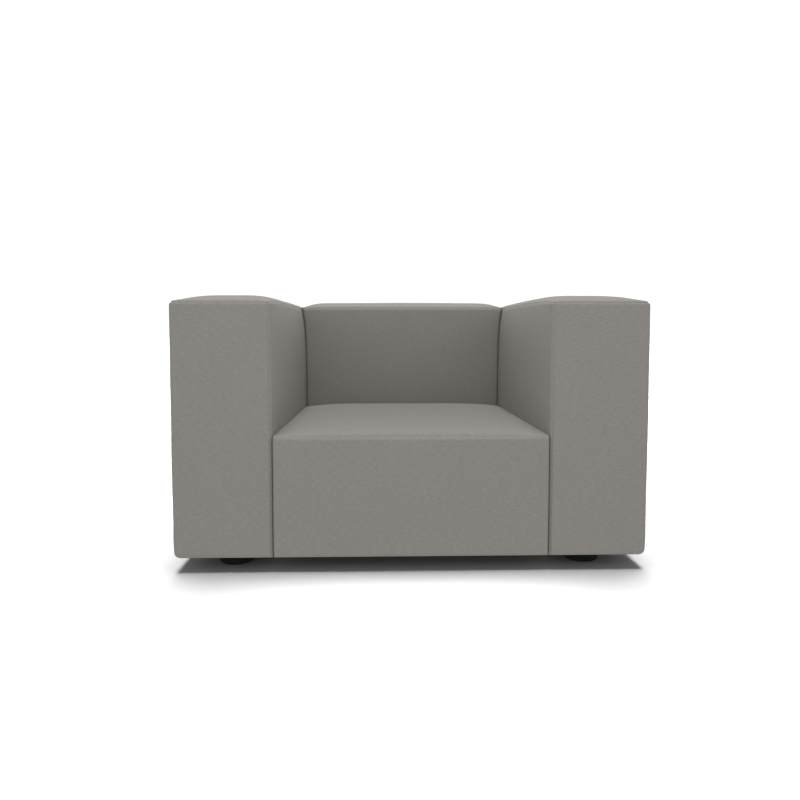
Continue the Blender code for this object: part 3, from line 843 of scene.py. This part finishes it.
def frame_finish(slot, axis):
    """The finish of a CAD node that stays in view, by its slot and its longest axis."""
    name = f"{slot}_{'xyz'[axis]}"
    found = bpy.data.materials.get(name)
    if found:
        return found
    if slot == "pine_board":
        return grained(name, (0.70, 0.52, 0.31), (0.50, 0.33, 0.17), axis, 0.6)
    if slot == "plywood":
        return grained(name, (0.72, 0.57, 0.38), (0.58, 0.43, 0.26), axis, 0.62, 4.0)
    if slot == "hardboard":
        return speckled(name, (0.34, 0.22, 0.13), (0.24, 0.15, 0.085), 700, 0.62)
    if slot == "foam":
        return speckled(name, (0.86, 0.80, 0.62), (0.72, 0.64, 0.44), 900, 0.95, 0.7, 0.0008)
    if slot == "felt":
        return speckled(name, (0.54, 0.53, 0.50), (0.33, 0.32, 0.31), 500, 0.96, 0.6, 0.0006, (1, 1, 3))
    if slot == "webbing":
        return ribbed(name, (0.11, 0.10, 0.09), (0.035, 0.032, 0.03), 0.0022, axis, 0.88)
    if slot == "spring_steel":
        return speckled(name, (0.42, 0.42, 0.43), (0.26, 0.26, 0.27), 300, 0.38, 0.1, 0.0001, Metallic=1.0)
    return speckled(name, (0.70, 0.70, 0.68), (0.52, 0.52, 0.52), 400, 0.34, 0.1, 0.0001, Metallic=1.0)


def material_named(name, make):
    return bpy.data.materials.get(name) or make()


def cloth_black():
    """Spun-bonded dust cloth: black felted fibres with a pattern of small bonded dots."""
    made = Nodes("bonded_dust_cloth")
    place = made.add("ShaderNodeTexCoord").outputs["Object"]
    fibres = made.noise(made.scaled(place, (260, 900, 1)), 1.0, 3.0, 0.7)
    cells = made.add("ShaderNodeTexVoronoi", Vector=place, Scale=650.0, Randomness=0.15)
    dots = made.maths("GREATER_THAN", cells.outputs["Distance"], 0.32)
    tone = made.mix(0.4, fibres, dots)
    base = made.ramp(tone, [(0.2, (0.012, 0.012, 0.013)), (0.8, (0.045, 0.045, 0.047))])
    made.bump(tone, 0.4, 0.0002)
    return made.finish(Base_Color=base, Roughness=0.85)


def plastic_black_with_painted_shade():
    """Moulded black plastic with a fine spark texture, made darker still as painted shade for the feet under
    the chair.
    """
    # Painted shade: these tones are darker than black plastic, for the shade that falls on the feet under the
    # chair.
    return speckled(
        "moulded_plastic_with_painted_shade",
        (0.007, 0.007, 0.007),
        (0.004, 0.004, 0.004),
        1400,
        0.62,
        0.25,
        0.0001,
        Specular_IOR_Level=0.12,
    )


def staple_steel():
    light, dark = (0.66, 0.66, 0.66), (0.5, 0.5, 0.5)
    return speckled("bright_staple", light, dark, 900, 0.36, 0.1, 0.0001, Metallic=1.0)


# ------------------------------
# Operators


class ARMCHAIR_OT_arm_covers(bpy.types.Operator):
    """Sew and stuff the covers of both arms"""

    bl_idname = "armchair.arm_covers"
    bl_label = "Arm covers"

    def execute(self, context):
        finish = material_named("woven_cover", grey_weave)
        for side in SIDES:
            make_cover(f"arm_{side}", finish)
        return {"FINISHED"}


class ARMCHAIR_OT_seat_cover(bpy.types.Operator):
    """Sew and stuff the cover of the seat"""

    bl_idname = "armchair.seat_cover"
    bl_label = "Seat cover"

    def execute(self, context):
        make_cover("seat", material_named("woven_cover", grey_weave))
        return {"FINISHED"}


class ARMCHAIR_OT_back_cover(bpy.types.Operator):
    """Sew and stuff the cover of the back"""

    bl_idname = "armchair.back_cover"
    bl_label = "Back cover"

    def execute(self, context):
        make_cover("back", material_named("woven_cover", grey_weave))
        return {"FINISHED"}


def make_dust_cloth(block, sizes, finish):
    """The sheet stapled under a block: flat at its edges and over the feet, and hanging a little between."""
    low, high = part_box(f"{block}_dust_cloth")
    width, length = high.x - low.x, high.y - low.y
    middle = (low + high) / 2
    cells = [max(8, round(side / 0.012)) for side in (width, length)]
    sheet = new_primitive(
        bpy.ops.mesh.primitive_grid_add,
        f"{block}_lining",
        x_subdivisions=cells[0],
        y_subdivisions=cells[1],
        size=1,
        location=(0, 0, 0),
    )
    flat = points_of(sheet.data)
    share = flat[:, :2] * 2
    flat[:, 0] = middle.x + flat[:, 0] * width
    flat[:, 1] = middle.y + flat[:, 1] * length
    open_span = (1 - np.abs(share[:, 0]) ** 2) * (1 - np.abs(share[:, 1]) ** 4)
    if block.startswith("arm"):
        open_span *= 1 - smooth_step(np.abs(share[:, 1]), 0.3, 0.62)
    crease = 0.5 + 0.5 * waves(flat, 0.06, (1.5, 7.0, 2.0))
    flat[:, 2] = high.z - 0.0002 - sizes.sag * open_span * (0.6 + 0.4 * crease)
    set_points(sheet.data, flat)
    make_active(sheet)
    bpy.ops.object.shade_smooth()
    fabric = sheet.modifiers.new("thickness", "SOLIDIFY")
    fabric.thickness = sizes.cloth
    fabric.offset = 0
    apply_modifiers(sheet)
    sheet.data.materials.append(finish)
    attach(sheet, "root")
    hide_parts(f"{block}_dust_cloth")
    return sheet, (width, length)


def make_staples(block, sizes, finish):
    """Staples round the edge of a dust cloth, made once and copied."""
    low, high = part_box(f"{block}_dust_cloth")
    wire = sizes.staple_wire
    model = new_primitive(bpy.ops.mesh.primitive_cube_add, f"{block}_staples", size=1)
    make_active(model)
    bpy.ops.object.mode_set(mode="EDIT")
    bpy.ops.mesh.select_all(action="SELECT")
    bpy.ops.transform.resize(value=(sizes.staple_width, wire, wire))
    bpy.ops.mesh.bevel(offset=0.3 * wire, segments=1, affect="EDGES")
    bpy.ops.object.mode_set(mode="OBJECT")
    single = points_of(model.data)
    faces = [tuple(face.vertices) for face in model.data.polygons]
    inset = 0.007
    places = []
    for axis in range(2):
        span = high[axis] - low[axis] - 2 * inset
        count = max(2, round(span / sizes.staple_pitch))
        for number in range(count):
            along = low[axis] + inset + span * (number + 0.5) / count
            for edge in (low[1 - axis] + inset, high[1 - axis] - inset):
                places.append((along, edge, axis))
    points, polygons = [], []
    level = high.z - 0.0002 - 0.5 * sizes.cloth - 0.35 * wire
    for number, (along, edge, axis) in enumerate(places):
        tilt = 0.22 * noise.noise(Vector((number * 0.73, along * 9.0, edge * 5.0)))
        turn = tilt + (math.pi / 2 if axis else 0)
        x, y = (along, edge) if axis == 0 else (edge, along)
        turned = single.copy()
        turned[:, 0] = single[:, 0] * math.cos(turn) - single[:, 1] * math.sin(turn) + x
        turned[:, 1] = single[:, 0] * math.sin(turn) + single[:, 1] * math.cos(turn) + y
        turned[:, 2] += level
        polygons += [tuple(index + len(points) for index in face) for face in faces]
        points += [tuple(point) for point in turned]
    model.data.clear_geometry()
    model.data.from_pydata(points, [], polygons)
    model.data.update()
    model.data.materials.append(finish)
    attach(model, "root")
    return model


class ARMCHAIR_OT_dust_cloths(bpy.types.Operator):
    """Staple the dust cloths under the four blocks"""

    bl_idname = "armchair.dust_cloths"
    bl_label = "Dust cloths"

    def execute(self, context):
        sizes = context.scene.lower_sizes
        black = material_named("bonded_dust_cloth", cloth_black)
        steel = material_named("bright_staple", staple_steel)
        for block in BLOCKS:
            sheet, flat = make_dust_cloth(block, sizes, black)
            staples = make_staples(block, sizes, steel)
            upholstery = bpy.data.objects.get(f"{block}_upholstery")
            if upholstery is None:
                self.report({"ERROR"}, f"Make the cover of {block} first")
                raise RuntimeError(f"{block} has no cover to hold its dust cloth")
        return {"FINISHED"}


class ARMCHAIR_OT_feet(bpy.types.Operator):
    """Turn the four feet"""

    bl_idname = "armchair.feet"
    bl_label = "Feet"

    def execute(self, context):
        sizes = context.scene.lower_sizes
        finish = material_named("moulded_plastic_with_painted_shade", plastic_black_with_painted_shade)
        for end in ("front", "rear"):
            for side in SIDES:
                make_foot(f"foot_{end}_{side}", sizes, finish)
        return {"FINISHED"}


def make_foot(node, sizes, finish):
    """A moulded puck: narrower below, its edges rounded, with a shallow glide raised on its sole."""
    low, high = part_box(node)
    middle = (low + high) / 2
    radius = (high.x - low.x) / 2
    foot = new_primitive(
        bpy.ops.mesh.primitive_cylinder_add,
        f"{node}_puck",
        vertices=72,
        radius=radius,
        depth=high.z - low.z,
        location=middle,
    )
    glide = 0.0012
    bpy.ops.object.mode_set(mode="EDIT")
    bpy.ops.mesh.select_mode(type="FACE")
    select_faces(foot, lambda face: face.normal.z < -0.9)
    narrow = 1 - sizes.foot_taper / radius
    bpy.ops.transform.resize(value=(narrow, narrow, 1), center_override=middle)
    bpy.ops.transform.translate(value=(0, 0, glide))
    bpy.ops.mesh.inset(thickness=0.008)
    bpy.ops.mesh.extrude_region_move(TRANSFORM_OT_translate={"value": (0, 0, -glide)})
    bpy.ops.mesh.select_mode(type="EDGE")
    select_edges(foot, lambda edge: is_rim(edge, middle, radius * 0.9, low.z, low.z + 0.002))
    bpy.ops.mesh.bevel(offset=sizes.foot_edge, segments=5, affect="EDGES")
    select_edges(foot, lambda edge: is_rim(edge, middle, radius * 0.9, high.z - 0.0001, high.z + 0.0001))
    bpy.ops.mesh.bevel(offset=0.0012, segments=3, affect="EDGES")
    select_edges(foot, lambda edge: is_rim(edge, middle, radius * 0.5, low.z - 0.0001, low.z + 0.0001))
    bpy.ops.mesh.bevel(offset=0.0006, segments=2, affect="EDGES")
    bpy.ops.object.mode_set(mode="OBJECT")
    bpy.ops.object.shade_smooth_by_angle(angle=math.radians(35))
    foot.data.materials.append(finish)
    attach(foot, "root")
    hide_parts(node)


def select_faces(obj, wanted):
    bpy.ops.mesh.select_all(action="DESELECT")
    bm = bmesh.from_edit_mesh(obj.data)
    for face in bm.faces:
        if wanted(face):
            face.select_set(True)
    bmesh.update_edit_mesh(obj.data)


def select_edges(obj, wanted):
    bpy.ops.mesh.select_all(action="DESELECT")
    bm = bmesh.from_edit_mesh(obj.data)
    for edge in bm.edges:
        if wanted(edge):
            edge.select_set(True)
    bmesh.update_edit_mesh(obj.data)


def is_rim(edge, middle, least_radius, low, high):
    """True for an edge of a ring round an upright axis, between two heights."""
    for vert in edge.verts:
        if not low <= vert.co.z <= high or (vert.co - middle).xy.length < least_radius:
            return False
    return abs(edge.verts[0].co.z - edge.verts[1].co.z) < 1e-6


class ARMCHAIR_OT_frame_finishes(bpy.types.Operator):
    """Give the frame, foam, springs and screws their finishes"""

    bl_idname = "armchair.frame_finishes"
    bl_label = "Frame finishes"

    def execute(self, context):
        for name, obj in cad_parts.items():
            if obj.hide_render:
                continue
            slot = obj.material_slots[0].material.name.split(".")[0]
            low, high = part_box(name)
            size = high - low
            axis = max(range(3), key=lambda i: size[i])
            if slot == "black_plastic":
                finish = material_named("moulded_plastic_with_painted_shade", plastic_black_with_painted_shade)
            else:
                finish = frame_finish(slot, axis)
            obj.material_slots[0].material = finish
        return {"FINISHED"}


class ARMCHAIR_OT_stage(bpy.types.Operator):
    """Set the floor, the light and the camera"""

    bl_idname = "armchair.stage"
    bl_label = "Studio"

    def execute(self, context):
        studio = context.scene.studio
        floor = new_primitive(bpy.ops.mesh.primitive_plane_add, "studio_floor", size=80)
        made = Nodes("studio_floor")
        place = made.add("ShaderNodeTexCoord").outputs["Object"]
        tone = made.noise(place, 3.0, 2.0, 0.5)
        colour = context.scene.finishes.floor
        shade = made.ramp(tone, [(0.3, tuple(0.98 * part for part in colour)), (0.7, tuple(colour))])
        floor.data.materials.append(made.finish(Base_Color=shade, Roughness=0.8))

        floor.visible_diffuse = False
        floor.visible_shadow = False
        context.scene.world = surroundings(studio)

        front_turn = (math.radians(45), 0, 0)
        add_light("front_light", "AREA", (-0.1, -2.0, 2.1), front_turn, studio.front_light).size = 1.6
        add_light("top_light", "AREA", (0, 0.1, 4.0), (0, 0, 0), studio.top_light).size = 1.8
        glow = add_light("floor_light", "SUN", (0, 0, 3), (math.radians(-8), 0, 0), studio.floor_light)
        glow.angle = math.radians(34)
        lit = bpy.data.collections.new("lit_by_floor_light")
        lit.objects.link(floor)
        bpy.data.objects["floor_light"].light_linking.receiver_collection = lit

        camera = bpy.data.cameras.new("studio_camera")
        camera.sensor_width = 36
        camera.lens = studio.lens
        camera.shift_x, camera.shift_y = studio.shift_x, studio.shift_y
        holder = bpy.data.objects.new("studio_camera", camera)
        holder.location = studio.camera_place
        holder.rotation_euler = (math.pi / 2 - studio.camera_pitch, 0, -studio.camera_turn)
        context.scene.collection.objects.link(holder)
        context.scene.camera = holder
        context.scene.view_settings.view_transform = "Standard"
        return {"FINISHED"}


def surroundings(studio):
    """An even white studio all round: its walls in front and behind, its ceiling and its ground."""
    world = bpy.data.worlds.new("studio_surroundings")
    world.use_nodes = True
    tree = world.node_tree
    parts = tree.nodes.new("ShaderNodeSeparateXYZ")
    tree.links.new(tree.nodes.new("ShaderNodeTexCoord").outputs["Generated"], parts.inputs[0])

    def blended(name, share, start, end, low, high):
        node = tree.nodes.new("ShaderNodeMapRange")
        node.name = name
        node.interpolation_type = "SMOOTHSTEP"
        for key, value in zip(("From Min", "From Max", "To Min", "To Max"), (start, end, low, high)):
            if isinstance(value, bpy.types.NodeSocket):
                tree.links.new(value, node.inputs[key])
            else:
                node.inputs[key].default_value = value
        tree.links.new(share, node.inputs["Value"])
        return node.outputs[0]

    walls = blended("walls", parts.outputs["Y"], -0.4, 0.3, studio.front_wall, studio.rear_wall)
    inside = blended("inside", parts.outputs["Z"], 0.5, 0.9, walls, studio.ceiling)
    whole = blended("whole", parts.outputs["Z"], -0.3, -0.1, studio.ground, inside)
    tree.links.new(whole, tree.nodes["Background"].inputs["Strength"])
    tree.nodes["Background"].inputs["Color"].default_value = (1, 1, 1, 1)
    return world


def add_light(name, kind, place, turn, strength):
    light = bpy.data.lights.new(name, kind)
    light.energy = strength
    holder = bpy.data.objects.new(name, light)
    holder.location = place
    holder.rotation_euler = turn
    bpy.context.scene.collection.objects.link(holder)
    return light


class ARMCHAIR_PT_pieces(bpy.types.Panel):
    """Lists the steps that build the armchair"""

    bl_label = "Block armchair"
    bl_idname = "ARMCHAIR_PT_pieces"
    bl_space_type = "VIEW_3D"
    bl_region_type = "UI"
    bl_category = "Armchair"

    def draw(self, context):
        for operator in STEPS:
            self.layout.operator(operator.bl_idname)
        for group in GROUPS:
            settings = getattr(context.scene, group)
            box = self.layout.box()
            for key in settings.__annotations__:
                box.prop(settings, key)


STEPS = (
    ARMCHAIR_OT_arm_covers,
    ARMCHAIR_OT_seat_cover,
    ARMCHAIR_OT_back_cover,
    ARMCHAIR_OT_dust_cloths,
    ARMCHAIR_OT_feet,
    ARMCHAIR_OT_frame_finishes,
    ARMCHAIR_OT_stage,
)
GROUPS = {
    "cover_sizes": CoverSizes,
    "lower_sizes": LowerSizes,
    "finishes": Finishes,
    "studio": Studio,
}


def register():
    for group in GROUPS.values():
        bpy.utils.register_class(group)
    for key, group in GROUPS.items():
        setattr(bpy.types.Scene, key, bpy.props.PointerProperty(type=group))
    for made in (*STEPS, ARMCHAIR_PT_pieces):
        bpy.utils.register_class(made)


def unregister():
    for made in (ARMCHAIR_PT_pieces, *reversed(STEPS)):
        bpy.utils.unregister_class(made)
    for key in GROUPS:
        delattr(bpy.types.Scene, key)
    for group in reversed(GROUPS.values()):
        bpy.utils.unregister_class(group)


def main():
    register()
    bpy.ops.armchair.arm_covers()
    bpy.ops.armchair.seat_cover()
    bpy.ops.armchair.back_cover()
    bpy.ops.armchair.dust_cloths()
    bpy.ops.armchair.feet()
    bpy.ops.armchair.frame_finishes()
    bpy.ops.armchair.stage()


if __name__ == "__main__":
    main()
